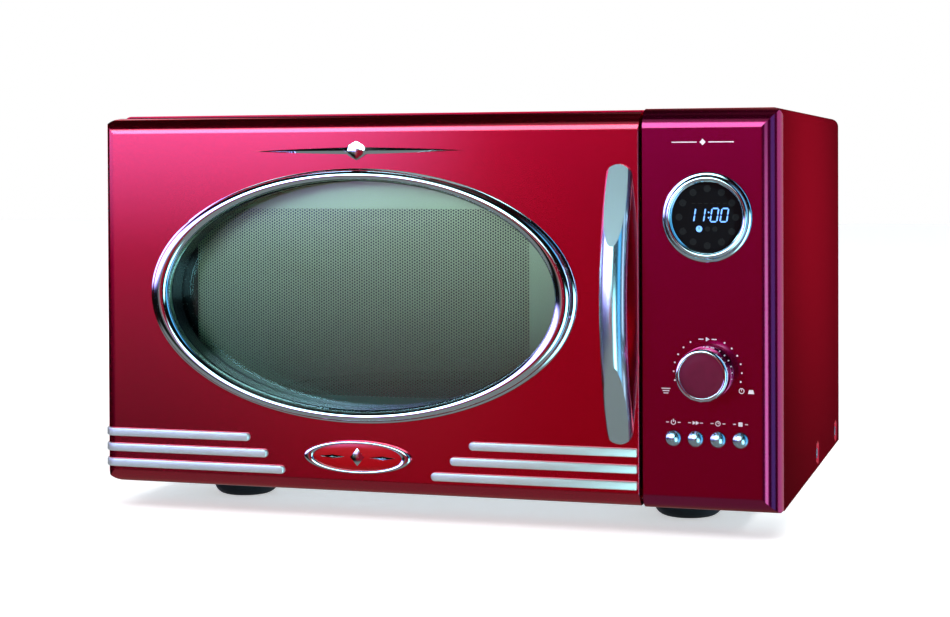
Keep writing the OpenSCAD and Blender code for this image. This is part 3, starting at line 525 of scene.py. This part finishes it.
def plate(bm, outline, y_front, y_back, place=(0, 0)):
    """Closed plate from an outline of (x, z) points."""
    front = [bm.verts.new((place[0] + x, y_front, place[1] + z)) for x, z in outline]
    back = [bm.verts.new((place[0] + x, y_back, place[1] + z)) for x, z in outline]
    bm.faces.new(front)
    bm.faces.new(back[::-1])
    count = len(outline)
    for i in range(count):
        j = (i + 1) % count
        bm.faces.new((front[i], back[i], back[j], front[j]))


def disc(radius, steps):
    angles = [2 * math.pi * i / steps for i in range(steps)]
    return [(radius * math.cos(a), radius * math.sin(a)) for a in angles]


def rectangle(x0, x1, z0, z1):
    return [(x0, z0), (x1, z0), (x1, z1), (x0, z1)]


def diamond(half_x, half_z):
    return [(half_x, 0), (0, half_z), (-half_x, 0), (0, -half_z)]


# ---------------------------------------------------------------- door

def make_window_ring():
    """The oval chrome ring: a flange, a round bead on it, and a neck lined with a black sleeve that is
    painted shade.
    """
    low, high = box("window_ring")
    face = box("strips_right")[1].y
    centre = middle("window_ring")
    centre.y = face
    outer = (high.z - low.z) / 2
    stretch = (high.x - low.x) / (high.z - low.z)
    crest = outer - 4.5 * MM
    lip = outer - 8 * MM
    depth = high.y - face
    bead = 3.2 * MM
    top = face - low.y
    profile = [
        (outer, 0),
        (outer, -0.5 * MM),
        (outer - 0.25 * MM, -0.95 * MM),
        (outer - 0.8 * MM, -1.15 * MM),
        (outer - 1.15 * MM, -1.35 * MM),
        (outer - 1.35 * MM, -1.9 * MM),
    ]
    profile += arc(crest, bead - top, bead, -10, -195, 18)
    profile += [
        (lip + 0.05 * MM, 0.4 * MM),
        (lip, 1.5 * MM),
        (lip, depth),
        (lip + 2.2 * MM, depth),
        (lip + 2.2 * MM, 0.0),
    ]
    bm = bmesh.new()
    lathe(bm, profile, centre, stretch, 256)
    piece("window_ring_chrome", bm, CHROME, "door", ["window_ring"])
    # black sleeve that lines the neck in front of the glass: painted shade for the dark reflection inside
    # the chrome neck
    inner = lip - 0.3 * MM
    outside = lip - 0.02 * MM
    sleeve = [(inner, 1.2 * MM), (outside, 0.9 * MM), (outside, depth), (inner, depth)]
    bm = bmesh.new()
    lathe(bm, sleeve, centre, stretch, 192)
    piece("window_sleeve_painted_shade", bm, SLEEVE_SHADE, "door")


HOLE_PITCH = 1.9 * MM
HOLE_RADIUS = 0.66 * MM
SHEET_THICK = 1.0 * MM
# the border without holes, measured in from each edge of the window glass
FIELD_LEFT = 26 * MM
FIELD_RIGHT = 36.5 * MM
FIELD_BOTTOM = 17.6 * MM
FIELD_TOP = 28.5 * MM
# how far the rim at the hinge side stops short of the bottom and of the top
RIM_NOTCH = 16 * MM


def make_screen():
    """The door's inner sheet: a field of punched holes with a plain border and a turned-back rim."""
    low, high = box("door_screen")
    glass_low, glass_high = box("window_glass")
    front = low.y
    field_low = Vector((glass_low.x + FIELD_LEFT, 0, glass_low.z + FIELD_BOTTOM))
    field_high = Vector((glass_high.x - FIELD_RIGHT, 0, glass_high.z - FIELD_TOP))
    column = HOLE_PITCH * math.sqrt(3) / 2
    columns = int((field_high.x - field_low.x) / column)
    rows = int((field_high.z - field_low.z) / HOLE_PITCH)
    field_high.x = field_low.x + columns * column
    field_high.z = field_low.z + rows * HOLE_PITCH
    corner = column / 1.5
    bm = bmesh.new()
    grid = {}

    def shared(x, z):
        key = (round(x / MM, 3), round(z / MM, 3))
        if key not in grid:
            grid[key] = bm.verts.new((x, front, z))
        return grid[key]

    for i in range(columns):
        for j in range(rows):
            x = field_low.x + (i + 0.5) * column
            z = field_low.z + (j + 0.5 + 0.5 * (i % 2)) * HOLE_PITCH
            if z > field_high.z - HOLE_PITCH / 2:
                continue
            rim = []
            hole = []
            for k in range(6):
                a = math.radians(60 * k)
                rim.append(shared(x + corner * math.cos(a), z + corner * math.sin(a)))
                edge_x = x + HOLE_RADIUS * math.cos(a)
                edge_z = z + HOLE_RADIUS * math.sin(a)
                hole.append(bm.verts.new((edge_x, front, edge_z)))
            for k in range(6):
                m = (k + 1) % 6
                bm.faces.new((rim[k], rim[m], hole[m], hole[k]))
    # plain borders at the handle side, the bottom and the top; the zigzag edge of the field lies on them
    lap = 0.05 * MM
    field_left = field_low.x + corner
    field_right = field_high.x - corner / 2
    for border in (
        rectangle(field_right, high.x, low.z, high.z),
        rectangle(field_left, field_right, low.z, field_low.z + HOLE_PITCH),
        rectangle(field_left, field_right, field_high.z - HOLE_PITCH, high.z),
    ):
        plate(bm, border, front + lap, front + SHEET_THICK)
    # the rim that is turned back all round
    for side in (
        rectangle(low.x, low.x + SHEET_THICK, low.z + RIM_NOTCH, high.z - RIM_NOTCH),
        rectangle(high.x - SHEET_THICK, high.x, low.z, high.z),
        rectangle(low.x, high.x, low.z, low.z + SHEET_THICK),
        rectangle(low.x, high.x, high.z - SHEET_THICK, high.z),
    ):
        plate(bm, side, front + SHEET_THICK, high.y)
    piece("door_screen_punched", bm, SCREEN, "door", ["door_screen"])
    # the border at the hinge side, painted near-black: painted shade and dark reflection of the ring's neck
    bm = bmesh.new()
    plate(bm, rectangle(low.x, field_left, low.z, high.z), front + lap, front + SHEET_THICK)
    piece("door_screen_border_painted_shade", bm, SHADE, "door")


STRIP_HALF = 2.65 * MM
STRIP_EDGE = 0.75 * MM
STRIP_CORNER = 7.5 * MM
# the share of its thickness that a strip keeps at its very tip
TIP_SHARE = 0.35
# how much shorter than the lowest strip each one is, from the top down
LEFT_STEPS = (24.3 * MM, 11.8 * MM, 0)
RIGHT_STEPS = (25.1 * MM, 12.5 * MM, 0)
FORWARD = Vector((0, -1, 0))


def rounded_bar(bm, stations, half_height, thick, edge):
    """A bar swept along (place, outward, scale) stations, flat at the back and rounded in front."""
    corner = arc(half_height - edge, thick - edge, edge, 0, 90, 5)
    lower = [(-z, out) for z, out in corner]
    outline = [(-half_height, 0.0)] + lower + corner[::-1] + [(half_height, 0.0)]
    rings = []
    for place, outward, scale in stations:
        ring = []
        share = TIP_SHARE + (1 - TIP_SHARE) * scale
        for z, out in outline:
            spot = place + outward * (out * share)
            ring.append(bm.verts.new((spot.x, spot.y, place.z + z * scale)))
        rings.append(ring)
    count = len(outline)
    for one, two in zip(rings, rings[1:]):
        for j in range(count):
            k = (j + 1) % count
            bm.faces.new((one[j], one[k], two[k], two[j]))
    bm.faces.new(rings[0][::-1])
    bm.faces.new(rings[-1])


def round_tip(tip, inward, radius, steps=9):
    """Stations that round a bar's end off, from the tip inward (+1 or -1 along x) to its full height."""
    stations = []
    for i in range(steps):
        a = math.pi / 2 * i / steps
        away = radius * (1 - math.cos(a))
        stations.append((tip + Vector((inward * away, 0, 0)), FORWARD, max(math.sin(a), 0.05)))
    stations.append((tip + Vector((inward * radius, 0, 0)), FORWARD, 1.0))
    return stations


def make_strips():
    """Three strips at each side; those at the left wrap round the door's corner and sink into it."""
    left_low, left_high = box("strips_left")
    right_low, right_high = box("strips_right")
    face = right_high.y
    thick = face - left_low.y
    corner_x = box("door_shell")[0].x + STRIP_CORNER
    rise = (left_high.z - left_low.z - 2 * STRIP_HALF) / 2
    turns = 10
    for i in range(3):
        z = left_high.z - STRIP_HALF - rise * i
        stations = round_tip(Vector((left_high.x - LEFT_STEPS[i], face, z)), -1, STRIP_HALF)
        stations.append((Vector((corner_x, face, z)), FORWARD, 1.0))
        corner = Vector((corner_x, face + STRIP_CORNER, z))
        for k in range(1, turns + 1):
            a = math.pi / 2 * k / turns
            outward = Vector((-math.sin(a), -math.cos(a), 0))
            sunk = thick / 2 * k / turns
            stations.append((corner + outward * (STRIP_CORNER - sunk), outward, 1.0))
        bm = bmesh.new()
        rounded_bar(bm, stations, STRIP_HALF, thick, STRIP_EDGE)
        replaced = ["strips_left"] if i == 0 else ()
        piece(f"strip_left_{i + 1}", bm, SATIN_CHROME, "door", replaced)
        stations = round_tip(Vector((right_low.x + RIGHT_STEPS[i], face, z)), 1, STRIP_HALF)
        stations.append((Vector((right_high.x - 0.4 * MM, face, z)), FORWARD, 1.0))
        stations.append((Vector((right_high.x, face, z)), FORWARD, 0.86))
        bm = bmesh.new()
        rounded_bar(bm, stations, STRIP_HALF, face - right_low.y, STRIP_EDGE)
        replaced = ["strips_right"] if i == 0 else ()
        piece(f"strip_right_{i + 1}", bm, SATIN_CHROME, "door", replaced)


def make_badge():
    """An oval rim round an enamelled dome, with a peaked diamond and a dart on each side of it."""
    low, high = box("badge_rim")
    face = high.y
    centre = middle("badge_rim")
    centre.y = face
    half_z = (high.z - low.z) / 2
    stretch = (high.x - low.x) / (high.z - low.z)
    depth = face - low.y
    bead = 0.85 * MM
    rim = [(half_z, 0), (half_z, -depth / 2)]
    rim += arc(half_z - bead, bead - depth, bead, 0, -180, 10)
    rim += [(half_z - 2 * bead, 0)]
    bm = bmesh.new()
    lathe(bm, rim, centre, stretch, 160)
    dart = (9 * MM, 1.2 * MM)
    dart_place = 17 * MM
    for size, shift in (((5 * MM, 5.6 * MM), 0), (dart, dart_place), (dart, -dart_place)):
        x = centre.x + shift
        peak = bm.verts.new((x, low.y + 0.2 * MM, centre.z))
        outline = diamond(*size)
        ring = [bm.verts.new((x + across, face - 1.35 * MM, centre.z + up)) for across, up in outline]
        floor_ring = [bm.verts.new((v.co.x, face - 0.6 * MM, v.co.z)) for v in ring]
        for k in range(4):
            m = (k + 1) % 4
            bm.faces.new((ring[k], ring[m], peak))
            bm.faces.new((ring[k], floor_ring[k], floor_ring[m], ring[m]))
        bm.faces.new(floor_ring)
    piece("badge_chrome", bm, CHROME, "door", ["badge_rim"])
    bm = bmesh.new()
    inner = half_z - 1.5 * MM
    dome = [
        (inner, 0),
        (inner, -1.0 * MM),
        (inner * 0.8, -1.22 * MM),
        (inner * 0.5, -1.35 * MM),
        (AXIS_GAP, -1.4 * MM),
        (AXIS_GAP, 0),
    ]
    lathe(bm, dome, centre, stretch, 128)
    piece("badge_enamel", bm, BADGE_RED, "door", ["badge_face"])


def star(half_x, half_z, steps=24, pinch=1.7):
    """A four-pointed outline whose sides curve inward more the larger the pinch."""
    outline = []
    for i in range(steps):
        across = math.cos(2 * math.pi * i / steps)
        up = math.sin(2 * math.pi * i / steps)
        x = half_x * math.copysign(abs(across) ** pinch, across)
        z = half_z * math.copysign(abs(up) ** pinch, up)
        outline.append((x, z))
    return outline


def make_spear():
    """A long thin star with a short tall one over its middle, both ridged."""
    low, high = box("spear_trim")
    centre = middle("spear_trim")
    face, front = high.y, low.y
    shaft = star((high.x - low.x) / 2, 2.3 * MM)
    jewel = star(9 * MM, (high.z - low.z) / 2)
    bm = bmesh.new()
    for outline, peak_y in ((shaft, front + 0.3 * MM), (jewel, front)):
        steps = len(outline)
        ring = [bm.verts.new((centre.x + x, face - 0.5 * MM, centre.z + z)) for x, z in outline]
        back = [bm.verts.new((centre.x + x, face, centre.z + z)) for x, z in outline]
        ridge = [bm.verts.new((centre.x + x * 0.9, peak_y, centre.z)) for x, z in outline]
        for i in range(steps):
            j = (i + 1) % steps
            bm.faces.new((ring[i], ring[j], ridge[j], ridge[i]))
            bm.faces.new((back[j], back[i], ring[i], ring[j]))
        bm.faces.new(back)
    piece("spear_ornament", bm, CHROME, "door", ["spear_trim"])


# ---------------------------------------------------------------- control panel

SEGMENTS = {"0": "abcdef", "1": "bc"}
DIGIT_WIDE = 4.0 * MM
DIGIT_TALL = 8.0 * MM
DIGIT_THICK = 0.85 * MM


def pointed_bar(cx, cz, reach, half_thick, upright):
    """The outline of a bar with pointed ends, lying along x or standing upright."""
    shoulder = reach - half_thick
    outline = [(-reach, 0), (-shoulder, -half_thick), (shoulder, -half_thick)]
    outline += [(-x, -z) for x, z in outline]
    if upright:
        outline = [(z, x) for x, z in outline]
    return [(cx + x, cz + z) for x, z in outline]


def digit_bars(symbol):
    """Outlines of the lit bars of a seven-segment digit, centred on (0, 0)."""
    x = DIGIT_WIDE / 2
    z = DIGIT_TALL / 2
    places = {
        "a": (0, z, False),
        "b": (x, z / 2, True),
        "c": (x, -z / 2, True),
        "d": (0, -z, False),
        "e": (-x, -z / 2, True),
        "f": (-x, z / 2, True),
    }
    gap = DIGIT_THICK * 0.22
    bars = []
    for key in SEGMENTS[symbol]:
        cx, cz, upright = places[key]
        reach = (z if upright else DIGIT_WIDE) / 2 - gap
        bars.append(pointed_bar(cx, cz, reach, DIGIT_THICK / 2, upright))
    return bars


def slanted(outline, slope=0.16):
    """Leans an outline over to the right."""
    return [(x + z * slope, z) for x, z in outline]


# the part of the bezel that the lens sits in, behind the panel's face
SEAT_RADIUS = 22.3 * MM
SEAT_DEPTH = 3.5 * MM


def make_bezel(centre, front, outer, lens_radius):
    """The display's chrome ring; the profile's y runs back from the panel's face."""
    profile = [
        (outer, 0),
        (outer, -0.8 * MM),
        (outer - 0.35 * MM, -1.25 * MM),
        (outer - 0.9 * MM, -1.45 * MM),
        (outer - 1.6 * MM, -1.6 * MM),
    ]
    profile += arc(outer - 3.9 * MM, front + 1.9 * MM, 1.9 * MM, 15, -150, 12)
    profile += [
        (lens_radius + 0.55 * MM, front + 0.6 * MM),
        (lens_radius + 0.1 * MM, front + 1.0 * MM),
        (lens_radius, front + 1.6 * MM),
        (lens_radius, SEAT_DEPTH),
        (SEAT_RADIUS, SEAT_DEPTH),
        (SEAT_RADIUS, 0),
    ]
    bm = bmesh.new()
    lathe(bm, profile, centre, 1.0, 160)
    piece("display_bezel_chrome", bm, CHROME, "oven", ["display_bezel"])


def make_display():
    """The bezel, and on the lens the lit time with its colon and clock, and the unlit symbols."""
    low, high = box("display_bezel")
    lens_low, lens_high = box("display_lens")
    centre = middle("display_bezel")
    centre.y = box("control_panel")[0].y
    make_bezel(centre, low.y - centre.y, (high.x - low.x) / 2, (lens_high.x - lens_low.x) / 2)

    glass_y = lens_low.y
    lit_y = glass_y - 0.04 * MM
    time_z = centre.z + 1.3 * MM
    below_z = centre.z - 7.1 * MM
    bm = bmesh.new()
    for symbol, x in (("1", -9.6 * MM), ("1", -3.6 * MM), ("0", 4.4 * MM), ("0", 10.4 * MM)):
        for bar in digit_bars(symbol):
            plate(bm, slanted(bar), lit_y, glass_y, (centre.x + x, time_z))
    for z in (-1.6 * MM, 1.6 * MM):
        plate(bm, disc(0.5 * MM, 12), lit_y, glass_y, (centre.x + 0.9 * MM, time_z + z))
    clock = (centre.x - 4.9 * MM, below_z)
    plate(bm, disc(1.9 * MM, 28), lit_y, glass_y, clock)
    piece("display_lit", bm, BLUE_LIGHT, "oven")
    bm = bmesh.new()
    hand = rectangle(-0.22 * MM, 0.22 * MM, -0.2 * MM, 1.3 * MM)
    plate(bm, hand, lit_y - 0.02 * MM, lit_y, clock)
    piece("clock_hand", bm, LENS, "oven")

    unlit_y = glass_y - 0.015 * MM
    ring_radius = 17.2 * MM
    bm = bmesh.new()
    for i in range(12):
        a = math.radians(30 * i)
        spot = (centre.x + ring_radius * math.cos(a), centre.z + ring_radius * math.sin(a))
        plate(bm, disc(2.15 * MM, 20), unlit_y, glass_y, spot)
    for k in range(6):
        x = (-9.5 + 3.8 * k) * MM
        dash = rectangle(x, x + 2.4 * MM, -0.2 * MM, 0.2 * MM)
        plate(bm, dash, unlit_y, glass_y, (centre.x, centre.z + 8.3 * MM))
    for x in (0.2 * MM, 4.6 * MM):
        plate(bm, disc(1.6 * MM, 20), unlit_y, glass_y, (centre.x + x, below_z))
    piece("display_unlit", bm, DIM_PRINT, "oven")


KNOB_WALL = 2.5 * MM
KNOB_WEB = 6 * MM
HUB_RADIUS = 5.4 * MM
HUB_BORE = 3 * MM


def make_knob():
    """The dial's chrome cup with its hub, and the painted face let into it; y runs back from the front."""
    low, high = box("dial_knob")
    centre = middle("dial_knob")
    outer = (high.x - low.x) / 2
    length = high.y - low.y
    centre.y = low.y
    face_radius = outer - 2.7 * MM
    lip = 0.35 * MM
    shoulder = 1.6 * MM
    profile = [(face_radius, 1.2 * MM), (face_radius, lip)]
    profile += arc(face_radius + 0.4 * MM, lip, lip, 180, 270, 4)
    profile += arc(outer - 0.3 * MM - shoulder, shoulder, shoulder, -90, 0, 10)
    profile += [
        (outer - 0.3 * MM, length / 2),
        (outer - 0.25 * MM, length - 3.4 * MM),
        (outer, length - 3.0 * MM),
        (outer, length - 0.4 * MM),
        (outer - 0.4 * MM, length),
        (outer - KNOB_WALL, length),
        (outer - KNOB_WALL, KNOB_WEB),
        (HUB_RADIUS, KNOB_WEB),
        (HUB_RADIUS, length),
        (HUB_BORE, length),
        (HUB_BORE, 1.2 * MM),
    ]
    bm = bmesh.new()
    lathe(bm, profile, centre, 1.0, 128)
    piece("dial_knob_chrome", bm, CHROME, "dial", ["dial_knob"])
    bm = bmesh.new()
    face_y = box("dial_face")[0].y - low.y
    crown = [
        (face_radius - 0.05 * MM, 1.1 * MM),
        (face_radius - 0.05 * MM, 0.5 * MM),
        (face_radius - 0.35 * MM, 0.25 * MM),
        (face_radius * 0.6, face_y + 0.05 * MM),
        (AXIS_GAP, face_y),
        (AXIS_GAP, 1.1 * MM),
    ]
    lathe(bm, crown, centre, 1.0, 96)
    piece("dial_face_painted", bm, KNOB_RED, "dial", ["dial_face"])


BUTTONS = [f"button_{number}" for number in range(1, 5)]


def make_buttons():
    """Domed chrome buttons, each with the flange that keeps it behind the panel."""
    for name in BUTTONS:
        low, high = box(name)
        centre = middle(name)
        centre.y = low.y
        length = high.y - low.y
        flange = (high.x - low.x) / 2
        radius = flange - 1.2 * MM
        crown = radius + 2.3 * MM
        reach = math.degrees(math.asin((radius - 0.35 * MM) / crown))
        profile = [(max(x, AXIS_GAP), y) for x, y in arc(0, crown, crown, -90, -90 + reach, 8)]
        edge_y = profile[-1][1]
        profile += [
            (radius - 0.1 * MM, edge_y + 0.2 * MM),
            (radius, edge_y + 0.5 * MM),
            (radius, 5.2 * MM),
            (flange, 5.3 * MM),
            (flange, 6.4 * MM),
            (radius, 6.5 * MM),
            (radius, length),
            (AXIS_GAP, length),
        ]
        bm = bmesh.new()
        lathe(bm, profile, centre, 1.0, 64)
        piece(f"{name}_dome", bm, BUTTON_CHROME, name, [name])


def make_prints():
    """Printed marks: dots round the dial and plain symbols in place of words."""
    face = box("control_panel")[0].y
    ink_y = face - 0.03 * MM
    dial = middle("dial_knob")
    pen = 0.42 * MM
    bm = bmesh.new()

    def mark(outline, x, z):
        plate(bm, outline, ink_y, face + 0.02 * MM, (x, z))

    def bar(x, z, wide, tall):
        mark(rectangle(-wide / 2, wide / 2, -tall / 2, tall / 2), x, z)

    def hoop(x, z, radius, start=0, end=360, steps=20):
        outside = arc(0, 0, radius, start, end, steps)
        inside = arc(0, 0, radius - pen, start, end, steps)
        for i in range(steps):
            mark([outside[i], outside[i + 1], inside[i + 1], inside[i]], x, z)

    def triangle(x, z, size):
        mark([(-size * 0.8, -size), (size, 0), (-size * 0.8, size)], x, z)

    # six dots down the dial's right side, and their mirror images down its left
    dots_radius = 20.7 * MM
    right_dots = [60 - 15 * step for step in range(6)]
    for angle in right_dots + [180 - angle for angle in right_dots]:
        a = math.radians(angle)
        mark(disc(0.55 * MM, 14), dial.x + dots_radius * math.cos(a), dial.z + dots_radius * math.sin(a))
    # start: a triangle between short rules
    start_z = dial.z + 19.8 * MM
    triangle(dial.x, start_z, 1.25 * MM)
    for side in (-1, 1):
        bar(dial.x + side * 4.0 * MM, start_z, 3.0 * MM, 0.55 * MM)
    # programmes: three rules; time and weight: a clock and a weight
    for k in range(3):
        bar(dial.x - 25.5 * MM, dial.z - 10.5 * MM - k * 1.4 * MM, 5.4 * MM - k * 1.2 * MM, 0.6 * MM)
    hoop(dial.x + 20.5 * MM, dial.z - 10.8 * MM, 1.7 * MM)
    bar(dial.x + 20.5 * MM, dial.z - 10.3 * MM, 0.35 * MM, 1.1 * MM)
    weight = [(-1.9 * MM, -1.4 * MM), (1.9 * MM, -1.4 * MM), (1.2 * MM, 1.0 * MM), (-1.2 * MM, 1.0 * MM)]
    mark(weight, dial.x + 26.2 * MM, dial.z - 11.0 * MM)
    # above the buttons: power, fast, clock, stop
    power, fast, clock, stop = [middle(name).x for name in BUTTONS]
    z = middle("button_1").z + 9.7 * MM
    hoop(power, z, 1.55 * MM, 125, 415)
    bar(power, z + 1.1 * MM, pen, 1.8 * MM)
    for k in range(2):
        triangle(fast - 0.9 * MM + k * 2.0 * MM, z, 1.15 * MM)
    hoop(clock, z, 1.6 * MM)
    bar(clock, z + 0.5 * MM, 0.35 * MM, 1.1 * MM)
    bar(clock + 0.4 * MM, z, 0.8 * MM, 0.35 * MM)
    bar(stop, z, 2.5 * MM, 2.5 * MM)
    for x in (power, fast, clock, stop):
        for side in (-1, 1):
            bar(x + side * 3.6 * MM, z, 1.8 * MM, 0.45 * MM)
    # a plain rule with a diamond at the top of the panel
    top = middle("display_bezel").z + 45.3 * MM
    x = dial.x - 2.7 * MM
    mark(diamond(1.9 * MM, 1.9 * MM), x, top)
    for side in (-1, 1):
        bar(x + side * 11.2 * MM, top, 15.5 * MM, 0.6 * MM)
    piece("printed_marks", bm, PRINT, "oven")


# ---------------------------------------------------------------- build

bpy.context.scene.view_settings.view_transform = "Standard"
add_camera()
add_world()
add_floor()
add_area_light("soft_top", place=(0.0, -0.4, 2.2), target=(0, 0, 0), wide=3.0, deep=2.4, power=40)
add_spot("side_glow", place=(0.95, -0.45, 0.50), target=(0.225, 0.02, 0.20), cone=24, power=270)
paint_nodes()
make_window_ring()
make_screen()
make_strips()
make_badge()
make_spear()
make_display()
make_knob()
make_buttons()
make_prints()
